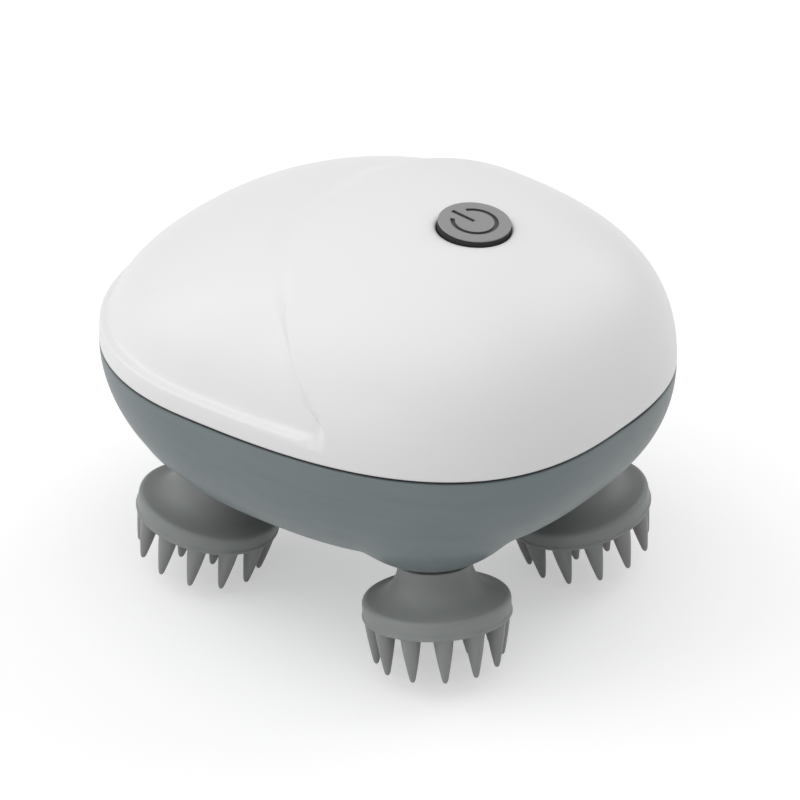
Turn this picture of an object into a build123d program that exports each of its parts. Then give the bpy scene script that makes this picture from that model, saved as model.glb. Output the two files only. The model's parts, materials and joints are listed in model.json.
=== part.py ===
from build123d import *
import math
import os

# Electric scalp massager: a palm-sized shell on four splayed, spinning silicone heads.
# Millimetres, +Z up. The nose and the power button are toward -Y, the tail toward +Y,
# and the body is mirrored across X = 0. Z = 0 is the plane that the claw tips stand on.

# ---------------------------------------------------------------- driving dimensions
half_width = 47.3           # plan of the body at the seam, half across
nose_reach = 55.9           # origin to the nose
tail_reach = 55.8           # origin to the tail
widest_y = 11.5             # where the plan is widest
nose_power = 2.65           # superellipse power of the plan, front half
tail_power = 2.25           # and rear half
seam_z = 51.3               # split between the two shells
dome_height = 31.9          # seam to the crown
dome_power = 2.27           # fullness of the dome's side profile
crown_y = -16.0             # highest point of the dome
bowl_depth = 30.5           # seam to the virtual bottom of the bowl
bowl_rise_power = 2.1       # fullness of the bowl's depth,
bowl_across_power = 3.8     # of its flanks
bowl_along_power = 2.4      # and of its ends
bowl_y = -9.0               # the bowl narrows toward this place
wall = 2.0                  # moulded wall
seam_gap = 0.5              # height of the gasket that shows at the seam

tail_inset = 2.0            # the tail of the dome is stepped in from the outline
tail_height = 31.0          # seam to the crown of the stepped-in dome
tail_dome_power = 2.2
tail_crown_y = -30.0
ledge_height = 4.5          # upright band between the seam and the ledge
bulb_y = -30.0              # centre, half width and reach of the bulb's elliptic edge
bulb_half_width = 49.3
bulb_reach = 38.3
step_round = 0.8            # edges and corners of the step and its ledge

tongue_inset = 1.5          # rail of the lower shell that fits inside the upper one
tongue_wall = 1.2
tongue_root = 3.0
tongue_rise = 1.6
tongue_gap = 0.15
gasket_inset = 0.45

head_x = 23.4               # centre of a head's disc underside, from the pattern centre
head_y = 28.8
pattern_y = -1.46           # centre of the head pattern
splay = 11.7                # each head's axis leans outward by this, degrees
disc_radius = 14.5
rim_height = 3.7
rim_round = 1.1
foot_round = 0.4            # lower edge of the rim
neck_radius = 7.2
head_height = 10.8          # disc underside to the top of the neck
head_gap = 0.5              # running gap between the neck and the housing boss
claw_length = 9.5
claw_base = 1.9
claw_tip = 0.45
claw_turn = 8.0             # first claw from the line toward the sun gear, degrees
outer_claws = 12
outer_ring = 12.15
inner_claws = 6
inner_ring = 6.4
inner_claw_length = 7.6
core_radius = 5.0           # hard insert of a head
core_flange = 10.6
core_start = 1.4
core_flange_height = 1.5
shaft_start = 2.6           # blind end of the shaft's seat in the insert

boss_radius = 22.0          # ball-shaped lobe of the housing over each head
lobe_round = 0.8            # corner where a lobe runs into the bowl
bearing_radius = 5.6        # tube inside the lobe that holds the bush
bearing_length = 10.2
shaft_radius = 2.0
bush_radius = 3.5
lower_bush_length = 7.0
seal_radius = 4.2
seal_height = 2.2
running = 0.05              # radial clearance of a shaft in its bush
seat = 0.02                 # radial clearance of a pressed piece in its seat

pressure_angle = math.radians(25)
addendum = 0.8              # in modules
dedendum = 1.05
lash = 0.10                 # backlash at the pitch circle

sun_teeth = 30
planet_teeth = 18
bevel_start = 22.3          # lower face of a planet gear, along its shaft
bevel_width = 6.0
bevel_lash = 0.16
bevel_hub_radius = 4.0
sun_rim_radius = 15.5       # inside of the sun gear's toothed rim
sun_web = 2.4
sun_boss_radius = 4.6       # boss on the floor that steadies the sun shaft
sun_boss_top = 31.0
sun_shaft_end = 29.0

wheel_teeth = 36
sun_pinion_teeth = 11       # drives the sun wheel
fast_pinion_teeth = 10      # motor pinion and the pinion of compound gear 1
slow_module = 0.8
fast_module = 0.6
gear_width = 2.5
gear_gap = 0.5
hub_radius = 2.1
web_thickness = 1.4         # web of the large spur wheels
wheel_rim = 2.0             # rim left outside the web

gear_plate_z = 41.5         # underside of the plate above the bevel gears
plate_thickness = 2.0
plate_half_x = 29.0
plate_half_y = 33.0
plate_round = 14.0
upper_bush_radius = 3.0
upper_bush_length = 4.0
upper_flange_radius = 4.2
upper_flange_height = 0.8
upper_boss_radius = 4.6
plate_post_reach = 27.5     # from the pattern centre
plate_post_radius = 2.8
pin_radius = 1.0
pillar_radius = 2.2
pillar_places = ((-22.0, -4.0), (-12.5, 29.0), (20.0, 4.0))
motor_plate_thickness = 1.5

motor_y = 3.5
motor_radius = 12.2
motor_height = 11.2
motor_cap_height = 1.2
motor_nose_radius = 3.0
motor_nose_height = 1.2
motor_shaft_radius = 1.0
motor_screw_reach = 8.0

board_z = 69.6
board_thickness = 1.6
board_half_x = 20.0
board_half_y = 18.0
board_y = -14.0
board_screw_x = 16.0
board_screw_y = 14.0        # from the board's centre
board_boss_radius = 2.5

button_y = -20.8
button_tilt = 5.7           # the cap leans toward the nose, degrees
button_radius = 7.0
button_gap = 0.2
button_proud = 0.9          # the cap stands above the dome by this
cap_thickness = 3.4
cap_round = 0.5
plunger_radius = 2.2
collar_wall = 1.6
collar_depth = 5.0
button_seal_height = 0.9
button_travel = 0.5
switch_size = 6.2
switch_height = 3.4
stem_radius = 1.6
stem_height = 1.0

cell_width = 36.0
cell_thickness = 7.0
cell_height = 23.0
cell_y = -35.8
cradle_wall = 1.2
cradle_rise = 8.0
cradle_screw_places = ((-9.0, -28.6), (9.0, -28.6))

post_front_y = -44.0
post_tail_margin = 10.6     # outline of the tail to the rear post
post_side_x = 35.0
post_radius = 4.2
screw_seat_depth = 9.0      # seam to the screw head's seat
screw_grip = 7.0            # screw length in the upper shell
screw_radius = 1.2
screw_head_radius = 2.4
screw_head_height = 1.6
small_screw_radius = 0.8
small_head_radius = 1.7
small_head_height = 1.1

charge_z = 45.0
charge_inset = 1.9          # outline of the tail to the insert's outer face
charge_width = 18.0
charge_height = 6.0
charge_depth = 3.0
charge_pitch = 8.0
charge_pin_radius = 1.5

# ---------------------------------------------------------------- worked-out places
splay_angle = math.radians(splay)
lowest_claw = outer_ring * math.cos(math.radians(claw_turn)) + claw_tip
disc_z = claw_length * math.cos(splay_angle) + lowest_claw * math.sin(splay_angle)
pattern_radius = math.hypot(head_x, head_y)
apex_distance = pattern_radius / math.sin(splay_angle)      # from a disc, up its own axis
apex_z = disc_z + pattern_radius / math.tan(splay_angle)    # where the four axes meet
boss_end = head_height + head_gap                           # housing boss face, on a head's axis
sun_cone = math.atan(math.sin(splay_angle) / (planet_teeth / sun_teeth + math.cos(splay_angle)))
planet_cone = splay_angle - sun_cone
bevel_middle = apex_distance - bevel_start - bevel_width / 2
bevel_slant = bevel_middle / math.cos(planet_cone)
planet_module = 2 * bevel_middle * math.tan(planet_cone) / planet_teeth
sun_middle = bevel_slant * math.cos(sun_cone)               # below the apex

gear_plate_top = gear_plate_z + plate_thickness
stage_a = gear_plate_top + gear_gap                         # sun wheel and its pinion
stage_b = stage_a + gear_width + gear_gap                   # compound gear 2's wheel
stage_c = stage_b + gear_width + gear_gap                   # compound gear 1's wheel
motor_plate_z = stage_c + gear_width + 2 * gear_gap
motor_z = motor_plate_z + motor_plate_thickness
slow_distance = slow_module * (wheel_teeth + sun_pinion_teeth) / 2
fast_distance = fast_module * (wheel_teeth + fast_pinion_teeth) / 2
gear_2_y = pattern_y + slow_distance
gear_1_y = (gear_2_y + motor_y) / 2
gear_1_x = -math.sqrt(fast_distance ** 2 - (gear_2_y - gear_1_y) ** 2)

upper_bush_start = (gear_plate_z - disc_z) / math.cos(splay_angle)
lower_bush_start = boss_end + seal_height + 0.1
shaft_end = upper_bush_start + upper_bush_length - 0.4

charge_face_y = tail_reach - charge_inset
post_rear_y = tail_reach - post_tail_margin
board_top = board_z + board_thickness
switch_top = board_top + switch_height
corners = {"front_left": (-1, -1), "front_right": (1, -1), "rear_left": (-1, 1), "rear_right": (1, 1)}
posts = ((0, post_front_y), (0, post_rear_y), (post_side_x, pattern_y), (-post_side_x, pattern_y))
plate_posts = ((plate_post_reach, pattern_y), (-plate_post_reach, pattern_y),
               (0, pattern_y + plate_post_reach), (0, pattern_y - plate_post_reach))


# ---------------------------------------------------------------- helpers
def rod(radius, bottom, top, x=0.0, y=0.0):
    """Upright cylinder between two heights."""
    return Pos(x, y, (bottom + top) / 2) * Cylinder(radius, top - bottom)


def plan(inset=0.0, across_size=1.0, along_size=1.0, toward_y=0.0, z=0.0):
    """Body outline at one height: an egg made of two superellipse halves, narrowed toward a place."""
    points = []
    steps = 24
    for step in range(steps):
        angle = 2 * math.pi * step / steps
        front = math.cos(angle) > 0
        reach = (nose_reach + widest_y if front else tail_reach - widest_y) - inset
        power = nose_power if front else tail_power
        across = abs(math.sin(angle)) / (half_width - inset)
        along = abs(math.cos(angle)) / reach
        radius = (across ** power + along ** power) ** (-1 / power)
        x = radius * math.sin(angle)
        y = widest_y - radius * math.cos(angle)
        points.append((x * across_size, y * along_size + toward_y * (1 - along_size), z))
    return make_face(Spline(*points, periodic=True))


def egg(inset, height, powers, levels, toward_y):
    """Solid skinned over shrinking outlines, up from the seam, or down if height is negative."""
    rise_power, across_power, along_power = powers
    sections = []
    for level in levels:
        angle = math.radians(level)
        rise = math.copysign(abs(math.sin(angle)) ** (2 / rise_power), level)
        across = math.cos(angle) ** (2 / across_power)
        along = math.cos(angle) ** (2 / along_power)
        sections.append(plan(inset, across, along, toward_y, seam_z + height * rise))
    return loft(sections)


dome_levels = (-14, 0, 14, 28, 42, 55, 67, 78, 88)
bowl_levels = (-14, 0, 14, 28, 42, 56, 70)


def full_dome(inset):
    powers = (dome_power, dome_power, dome_power)
    return egg(inset, dome_height - inset, powers, dome_levels, crown_y)


def tail_dome(inset):
    powers = (tail_dome_power, tail_dome_power, tail_dome_power)
    return egg(tail_inset + inset, tail_height - inset, powers, dome_levels, tail_crown_y)


def bowl(inset):
    powers = (bowl_rise_power, bowl_across_power, bowl_along_power)
    return egg(inset, -(bowl_depth - inset), powers, bowl_levels, bowl_y)


def bulb(inset):
    """Region of the dome that stays full; behind it the tail is stepped in."""
    edge = Ellipse(bulb_half_width - inset, bulb_reach - inset)
    return Pos(0, bulb_y, seam_z) * extrude(edge, 2 * dome_height)


def slab(bottom, top, size=160.0):
    return Pos(0, 0, (bottom + top) / 2) * Box(size, size, top - bottom)


def head_axis(sign_x, sign_y):
    """Frame of one head: origin at the disc's underside, Z up its shaft, X toward the sun gear."""
    out = Vector(sign_x * head_x, sign_y * head_y, 0) / pattern_radius
    origin = Vector(0, pattern_y, disc_z) + out * pattern_radius
    up = Vector(0, 0, 1) * math.cos(splay_angle) - out * math.sin(splay_angle)
    inward = out * -math.cos(splay_angle) - Vector(0, 0, 1) * math.sin(splay_angle)
    return Plane(origin=origin, x_dir=inward, z_dir=up).location


def button_axis():
    """Frame of the button: origin on the dome's skin, Z out of it."""
    lean = math.radians(button_tilt)
    up = Vector(0, -math.sin(lean), math.cos(lean))
    return Plane(origin=(0, button_y, button_z), x_dir=(1, 0, 0), z_dir=up).location


def gear_face(teeth, module, turn=0.0, size=1.0, backlash=lash):
    """Involute gear outline with straight chords for flanks."""
    pitch = module * teeth / 2
    base = pitch * math.cos(pressure_angle)
    root = pitch - dedendum * module
    tip = pitch + addendum * module
    involute = math.tan(pressure_angle) - pressure_angle
    radii = [root, base, tip] if base > root else [root, tip]

    def half_tooth(radius):
        angle = math.acos(min(1.0, base / radius))
        return math.pi / (2 * teeth) - backlash / (4 * pitch) + involute - (math.tan(angle) - angle)

    points = []
    for tooth in range(teeth):
        middle = turn + 2 * math.pi * tooth / teeth
        flank = [(radius, half_tooth(radius)) for radius in radii]
        for radius, angle in flank:
            points.append((radius * size * math.cos(middle - angle), radius * size * math.sin(middle - angle)))
        for radius, angle in reversed(flank):
            points.append((radius * size * math.cos(middle + angle), radius * size * math.sin(middle + angle)))
    return make_face(Polyline(*points, close=True))


def mesh_turn(turn, teeth, toward, other_teeth):
    """Turn of the second gear, so that its gap meets the first gear's tooth."""
    share = ((toward - turn) / (2 * math.pi / teeth)) % 1
    return toward + math.pi - (0.5 - share) * 2 * math.pi / other_teeth


def spur(teeth, module, bottom, turn=0.0):
    return Pos(0, 0, bottom) * extrude(gear_face(teeth, module, turn), gear_width)


def webbed(wheel, teeth, module, bottom):
    """Thin the web of a moulded wheel between its hub and its rim."""
    rim = module * teeth / 2 - dedendum * module - wheel_rim
    recess = (gear_width - web_thickness) / 2
    ring = Cylinder(rim, recess) - Cylinder(hub_radius + 1, recess)
    low = Pos(0, 0, bottom + recess / 2) * ring
    high = Pos(0, 0, bottom + gear_width - recess / 2) * ring
    return wheel - low - high


def bevel(teeth, module, near, far, middle, turn=0.0):
    """Bevel gear about Z with its apex at the origin, between two distances below it."""
    faces = []
    for distance in (near, far):
        face = gear_face(teeth, module, turn, distance / middle, bevel_lash)
        faces.append(Pos(0, 0, -distance) * face)
    return loft(faces, ruled=True)


def screw(radius, length, head_radius, head_height):
    """Screw with its head's seat at the origin, shank up."""
    head = fillet(rod(head_radius, -head_height, 0).edges().group_by(Axis.Z)[0], head_height * 0.4)
    drive = Pos(0, 0, -head_height) * Box(head_radius, head_radius / 3, head_height)
    cross = Rot(0, 0, 90) * drive
    return rod(radius, 0, length) + head - drive - cross


# ---------------------------------------------------------------- shells
def dome_skin():
    """Outer form of the dome: full at the nose, stepped in behind the bulb above a ledge."""
    ledge_z = seam_z + ledge_height
    skin = full_dome(0) - (slab(ledge_z, ledge_z + dome_height) - bulb(0) - tail_dome(0))
    step = [edge for edge in skin.edges() if edge.bounding_box().min.Z > ledge_z - 0.1]
    return fillet(step, step_round)


def dome_cavity():
    return tail_dome(wall) + (full_dome(wall) & bulb(wall))


dome_solid = dome_skin()
button_z = dome_solid.find_intersection_points(Axis((0, button_y, 200), (0, 0, -1)))[0][0].Z


def make_top_cover():
    cavity = dome_cavity()
    shell = dome_solid - cavity
    for x, y in posts:
        shell += rod(post_radius, seam_z, seam_z + dome_height, x, y) & dome_solid
    for x in (-board_screw_x, board_screw_x):
        for y in (-board_screw_y, board_screw_y):
            boss = rod(board_boss_radius, board_top, board_top + dome_height, x, board_y + y)
            shell += boss & dome_solid
    collar = rod(button_radius + button_gap + collar_wall, -collar_depth, 0)
    shell += button_axis() * collar & dome_solid
    shell -= button_axis() * rod(button_radius + button_gap, -cap_thickness * 3, cap_thickness)
    for x, y in posts:
        shell -= rod(screw_radius, seam_z, seam_z + screw_grip + 1, x, y)
    for x in (-board_screw_x, board_screw_x):
        for y in (-board_screw_y, board_screw_y):
            shell -= rod(small_screw_radius, board_top, board_top + 4, x, board_y + y)
    rebate = extrude(plan(tongue_inset - tongue_gap, z=seam_z), tongue_rise + tongue_gap)
    shell -= rebate - union_of(rod(post_radius, seam_z, seam_z + dome_height, x, y) for x, y in posts)
    return shell & slab(seam_z + seam_gap / 2, seam_z + 2 * dome_height)


def union_of(shapes):
    total = None
    for shape in shapes:
        total = shape if total is None else total + shape
    return total


def lobe(radius, end):
    """Ball-shaped lobe of the bowl about one head's axis, cut square below the neck."""
    middle = boss_end + math.sqrt(boss_radius ** 2 - neck_radius ** 2)
    ball = Pos(0, 0, middle) * Sphere(radius)
    return ball & rod(radius, end, middle)


def make_bottom_housing():
    outside = bowl(0)
    inside = bowl(wall)
    for signs in corners.values():
        place = head_axis(*signs)
        outside += place * lobe(boss_radius, boss_end)
        inside += place * lobe(boss_radius - wall, boss_end + wall)
    runs = [edge for edge in outside.edges() if edge.geom_type != GeomType.CIRCLE]
    outside = fillet([edge for edge in runs if edge.bounding_box().max.Z < seam_z - 5], lobe_round)
    shell = outside - inside
    for x, y in posts:
        shell += rod(post_radius, 0, seam_z, x, y) & outside
    for x, y in plate_posts:
        shell += rod(plate_post_radius, 0, gear_plate_z, x, y) & outside
    shell += rod(sun_boss_radius, 0, sun_boss_top, 0, pattern_y) & outside
    tube = rod(bearing_radius, boss_end, boss_end + bearing_length)
    bore = rod(bush_radius + seat, boss_end, boss_end + bearing_length)
    pocket = rod(seal_radius + seat, boss_end, boss_end + seal_height)
    for signs in corners.values():
        shell += head_axis(*signs) * tube & outside
    shell -= rod(shaft_radius + running, sun_shaft_end, sun_boss_top, 0, pattern_y)
    for signs in corners.values():
        shell -= head_axis(*signs) * (bore + pocket)
    for x, y in posts:
        shell -= rod(screw_head_radius + 0.3, 0, seam_z - screw_seat_depth, x, y)
        shell -= rod(screw_radius + 0.2, 0, seam_z, x, y)
    for x, y in plate_posts:
        shell -= rod(small_screw_radius, gear_plate_z - 7, gear_plate_z, x, y)
    shell -= charge_block(0.05)
    shell &= slab(0, seam_z - seam_gap / 2)
    root_z = seam_z - tongue_root
    tongue = plan(tongue_inset, z=root_z) - plan(tongue_inset + tongue_wall, z=root_z)
    rail = extrude(tongue, tongue_root + tongue_rise)
    for x, y in posts:
        rail -= rod(post_radius + tongue_gap, seam_z - seam_gap / 2, seam_z + tongue_rise, x, y)
    return shell + rail


def charge_block(clearance=0.0):
    """Space of the charging insert in the tail wall."""
    size = Box(charge_width + 2 * clearance, charge_depth + 8, charge_height + 2 * clearance)
    middle = charge_face_y - charge_depth - clearance + (charge_depth + 8) / 2
    return Pos(0, middle, charge_z) * size


def make_seam_gasket():
    ring = plan(gasket_inset, z=seam_z - seam_gap / 2) - plan(tongue_inset - 0.05, z=seam_z - seam_gap / 2)
    return extrude(ring, seam_gap)


# ---------------------------------------------------------------- heads and shafts
def claw(length):
    return Pos(0, 0, -length / 2) * Cone(claw_tip, claw_base, length)


def make_massage_head():
    """Silicone head: a flared neck on a round-rimmed disc, with a crown of claws under it."""
    with BuildPart() as flare:
        with BuildSketch(Plane.XZ):
            with BuildLine():
                Line((0, 0), (disc_radius, 0))
                Line((disc_radius, 0), (disc_radius, rim_height))
                Spline((disc_radius, rim_height), (neck_radius + 0.9, rim_height + 3.3),
                       (neck_radius, head_height - 1.4), tangents=((-1, 0.12), (0, 1)))
                Line((neck_radius, head_height - 1.4), (neck_radius, head_height))
                Line((neck_radius, head_height), (0, head_height))
                Line((0, head_height), (0, 0))
            make_face()
        revolve(axis=Axis.Z)
    body = flare.part
    rim = body.edges().filter_by(GeomType.CIRCLE).filter_by(lambda edge: abs(edge.radius - disc_radius) < 0.01)
    body = fillet(rim.sort_by(Axis.Z)[-1], rim_round)
    foot = body.edges().filter_by(GeomType.CIRCLE).filter_by(lambda edge: abs(edge.radius - disc_radius) < 0.01)
    body = fillet(foot.sort_by(Axis.Z)[0], foot_round)
    for count, ring, length in ((outer_claws, outer_ring, claw_length), (inner_claws, inner_ring, inner_claw_length)):
        for step in range(count):
            turn = 2 * math.pi * step / count
            body += Pos(ring * math.cos(turn), ring * math.sin(turn), 0) * claw(length)
    body += claw(inner_claw_length)
    return body - core_solid(seat)


def core_solid(clearance=0.0):
    hub = rod(core_radius + clearance, core_start - clearance, head_height)
    flange = rod(core_flange + clearance, core_start - clearance, core_start + core_flange_height + clearance)
    return hub + flange


def make_head_core():
    """Hard insert moulded into the silicone; it plugs onto the shaft's end."""
    return core_solid() - rod(shaft_radius + seat, shaft_start, head_height)


def make_drive_shaft():
    shaft = rod(shaft_radius, shaft_start + 0.05, shaft_end)
    return chamfer(shaft.edges(), 0.3)


def planet_turn(sign_x, sign_y):
    toward = math.atan2(sign_y * head_y, sign_x * head_x)
    return mesh_turn(0.0, sun_teeth, toward, planet_teeth) - toward - math.pi


def make_planet_gear(turn):
    gear = bevel(planet_teeth, planet_module, bevel_middle - bevel_width / 2, bevel_middle + bevel_width / 2,
                 bevel_middle, turn)
    gear = Pos(0, 0, apex_distance) * gear
    gear += rod(bevel_hub_radius, bevel_start - 0.5, bevel_start + bevel_width)
    return gear - rod(shaft_radius + seat, 0, bevel_start + 2 * bevel_width)


def make_lower_bush():
    bush = rod(bush_radius, lower_bush_start, lower_bush_start + lower_bush_length)
    return bush - rod(shaft_radius + running, lower_bush_start, lower_bush_start + lower_bush_length)


def make_upper_bush():
    end = upper_bush_start + upper_bush_length
    shoulder = upper_bush_start - upper_flange_height
    bush = rod(upper_bush_radius, shoulder, end)
    bush += rod(upper_flange_radius, shoulder - upper_flange_height, shoulder)
    return bush - rod(shaft_radius + running, shoulder - upper_flange_height, end)


def make_shaft_seal():
    lip = rod(seal_radius, boss_end + 0.1, boss_end + seal_height)
    groove = Pos(0, 0, boss_end + seal_height) * (Cylinder(seal_radius - 0.6, 1.6) - Cylinder(shaft_radius + 0.6, 1.6))
    return lip - groove - rod(shaft_radius + running, boss_end, boss_end + seal_height)


# ---------------------------------------------------------------- gear train
def make_sun_gear():
    gear = bevel(sun_teeth, planet_module, sun_middle - bevel_width / 2, sun_middle + bevel_width / 2, sun_middle)
    gear = Pos(0, pattern_y, apex_z) * gear
    low = apex_z - sun_middle - bevel_width / 2
    high = low + bevel_width
    ring = Cylinder(sun_rim_radius, bevel_width - sun_web) - Cylinder(bevel_hub_radius + 1, bevel_width - sun_web)
    gear -= Pos(0, pattern_y, high - (bevel_width - sun_web) / 2) * ring
    gear += rod(bevel_hub_radius, low, gear_plate_z - 0.4, 0, pattern_y)
    return gear - rod(shaft_radius + seat, low - 1, gear_plate_z, 0, pattern_y)


def make_sun_wheel():
    wheel = spur(wheel_teeth, slow_module, stage_a)
    wheel = webbed(wheel, wheel_teeth, slow_module, stage_a)
    wheel -= rod(shaft_radius + seat, stage_a, stage_a + gear_width)
    return Pos(0, pattern_y, 0) * wheel


def make_sun_shaft():
    shaft = rod(shaft_radius, sun_shaft_end + 0.1, stage_a + gear_width + 0.3, 0, pattern_y)
    return chamfer(shaft.edges(), 0.3)


def compound_2_turns():
    pinion = mesh_turn(0.0, wheel_teeth, math.pi / 2, sun_pinion_teeth)
    return pinion, 0.0


def make_compound_gear_2():
    pinion_turn, wheel_turn = compound_2_turns()
    gear = spur(wheel_teeth, fast_module, stage_b, wheel_turn)
    gear = webbed(gear, wheel_teeth, fast_module, stage_b)
    gear += Pos(0, 0, stage_a) * extrude(gear_face(sun_pinion_teeth, slow_module, pinion_turn), gear_width + gear_gap)
    gear += rod(hub_radius, stage_b, motor_plate_z - 0.3)
    gear -= rod(pin_radius + running, stage_a, motor_plate_z)
    return Pos(0, gear_2_y, 0) * gear


def make_compound_gear_1():
    toward = math.atan2(gear_1_y - gear_2_y, gear_1_x)
    pinion_turn = mesh_turn(0.0, wheel_teeth, toward, fast_pinion_teeth)
    gear = spur(wheel_teeth, fast_module, stage_c, 0.0)
    gear = webbed(gear, wheel_teeth, fast_module, stage_c)
    pinion = gear_face(fast_pinion_teeth, fast_module, pinion_turn)
    gear += Pos(0, 0, stage_b) * extrude(pinion, gear_width + gear_gap)
    gear += rod(hub_radius, stage_c, motor_plate_z - 0.3)
    gear -= rod(pin_radius + running, stage_b, motor_plate_z)
    return Pos(gear_1_x, gear_1_y, 0) * gear


def make_motor_pinion():
    toward = math.atan2(motor_y - gear_1_y, -gear_1_x)
    turn = mesh_turn(0.0, wheel_teeth, toward, fast_pinion_teeth)
    pinion = spur(fast_pinion_teeth, fast_module, stage_c, turn)
    pinion -= rod(motor_shaft_radius + seat, stage_c, stage_c + gear_width)
    return Pos(0, motor_y, 0) * pinion


def make_motor_shaft():
    return rod(motor_shaft_radius, stage_c - 0.2, motor_z + motor_height - 3, 0, motor_y)


def make_motor_can():
    can = rod(motor_radius, motor_z, motor_z + motor_height)
    can = fillet(can.edges().group_by(Axis.Z)[0], 1.0)
    can += rod(motor_nose_radius, motor_z - motor_nose_height, motor_z + 1)
    can -= rod(motor_shaft_radius + running, 0, motor_z + motor_height - 2.8)
    for side in (-1, 1):
        can -= rod(small_screw_radius, motor_z, motor_z + 3, side * motor_screw_reach, 0)
    return Pos(0, motor_y, 0) * can


def make_motor_endcap():
    base = motor_z + motor_height
    cap = rod(motor_radius - 0.8, base, base + motor_cap_height)
    for side in (-1, 1):
        tab = Pos(side * 5, 0, base + motor_cap_height / 2 + 0.3) * Box(2.2, 0.4, motor_cap_height + 0.6)
        cap += tab
    return Pos(0, motor_y, 0) * cap


def make_gear_plate():
    outline = Rectangle(2 * plate_half_x, 2 * plate_half_y)
    plate = extrude(fillet(outline.vertices(), plate_round), plate_thickness)
    plate = Pos(0, pattern_y, gear_plate_z) * plate
    shoulder = upper_bush_start - upper_flange_height
    for signs in corners.values():
        place = head_axis(*signs)
        plate += place * rod(upper_boss_radius, shoulder, upper_bush_start + upper_bush_length - 0.6)
    for signs in corners.values():
        place = head_axis(*signs)
        plate -= place * rod(upper_bush_radius + seat, shoulder, upper_bush_start + upper_bush_length)
        plate -= place * rod(upper_boss_radius + 1, shoulder - 3, shoulder)
    plate -= rod(bush_radius + seat, gear_plate_z, gear_plate_top, 0, pattern_y)
    for x, y in plate_posts:
        plate -= rod(small_screw_radius + 0.2, gear_plate_z, gear_plate_top, x, y)
    for x, y in ((0, gear_2_y), (gear_1_x, gear_1_y)):
        plate -= rod(pin_radius + seat, gear_plate_z, gear_plate_top, x, y)
    for x, y in pillar_places:
        plate -= rod(small_screw_radius + 0.1, gear_plate_z, gear_plate_top, x, y)
    for x, y in cradle_screw_places:
        plate -= rod(small_screw_radius, gear_plate_z, gear_plate_top, x, y)
    return plate


def make_sun_bush():
    bush = rod(bush_radius, gear_plate_z, gear_plate_top, 0, pattern_y)
    return bush - rod(shaft_radius + running, gear_plate_z, gear_plate_top, 0, pattern_y)


def make_motor_plate():
    lugs = Sketch() + [Pos(x, y) * Circle(pillar_radius + 1.6) for x, y in pillar_places]
    ring = Pos(0, motor_y) * Circle(motor_radius - 1)
    far_lug = Pos(0, gear_2_y) * Circle(hub_radius + 2)
    sheet = make_hull((lugs + ring + far_lug).edges())
    plate = Pos(0, 0, motor_plate_z) * extrude(sheet, motor_plate_thickness)
    plate -= rod(motor_nose_radius + 0.1, motor_plate_z, motor_z, 0, motor_y)
    for x, y in ((0, gear_2_y), (gear_1_x, gear_1_y)):
        plate -= rod(pin_radius + seat, motor_plate_z, motor_z, x, y)
    for x, y in pillar_places:
        plate -= rod(small_screw_radius + 0.1, motor_plate_z, motor_z, x, y)
    for side in (-1, 1):
        plate -= rod(small_screw_radius + 0.1, motor_plate_z, motor_z, side * motor_screw_reach, motor_y)
    return plate


def make_plate_pillars():
    return [rod(pillar_radius, gear_plate_top, motor_plate_z, x, y)
            - rod(small_screw_radius, gear_plate_top, motor_plate_z, x, y) for x, y in pillar_places]


def make_idler_pins():
    return [rod(pin_radius, gear_plate_z + 0.2, motor_z, x, y) for x, y in ((0, gear_2_y), (gear_1_x, gear_1_y))]


# ---------------------------------------------------------------- electrics
def make_main_pcb():
    outline = Rectangle(2 * board_half_x, 2 * board_half_y)
    board = Pos(0, board_y, board_z) * extrude(fillet(outline.vertices(), 3), board_thickness)
    for x in (-board_screw_x, board_screw_x):
        for y in (-board_screw_y, board_screw_y):
            board -= rod(small_screw_radius + 0.1, board_z, board_top, x, board_y + y)
    return board


def make_pcb_chips():
    sizes = ((-10.0, -4.0, 5.0, 4.0, 1.4), (9.0, -3.0, 4.0, 4.0, 1.0), (0.0, 2.0, 7.0, 3.0, 1.8))
    return [Pos(x, board_y + y + 6, board_top + high / 2) * Box(long, wide, high) for x, y, long, wide, high in sizes]


def switch_y():
    """The switch lies where the leaning plunger comes down."""
    return button_y + (button_z - switch_top) * math.tan(math.radians(button_tilt))


def make_tact_switch():
    body = Pos(0, switch_y(), board_top + switch_height / 2) * Box(switch_size, switch_size, switch_height)
    return body - rod(stem_radius + 0.15, board_top + 1, switch_top, 0, switch_y())


def make_switch_stem():
    return rod(stem_radius, switch_top - stem_height, switch_top + stem_height, 0, switch_y())


def make_power_button():
    """Round cap with a slightly crowned face, on a plunger that reaches the switch."""
    low = button_proud - cap_thickness
    cap = rod(button_radius, low, button_proud)
    cap = fillet(cap.edges().group_by(Axis.Z)[-1], cap_round)
    cap -= rod(button_radius - 1.4, low, low + cap_thickness - 1.8)
    reach = (button_z - switch_top - stem_height) / math.cos(math.radians(button_tilt))
    cap += rod(plunger_radius, -reach, 0)
    cap = button_axis() * cap
    return cap - slab(0, switch_top + stem_height + 0.02)


def make_button_seal():
    """Silicone washer under the collar, with a raised ring round the plunger."""
    outer = button_radius + button_gap + collar_wall
    top = -collar_depth - 0.05
    skirt = rod(outer, top - button_seal_height, top)
    hump = rod(plunger_radius + 1.4, top, top + 0.8)
    return button_axis() * (skirt + hump - rod(plunger_radius + 0.15, top - 1, top + 1))


def make_battery_cell():
    low = gear_plate_top + cradle_wall + 0.1
    cell = Pos(0, cell_y, low + cell_height / 2) * Box(cell_width, cell_thickness, cell_height)
    return fillet(cell.edges().filter_by(Axis.X) + cell.edges().filter_by(Axis.Z), 1.5)


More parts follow.
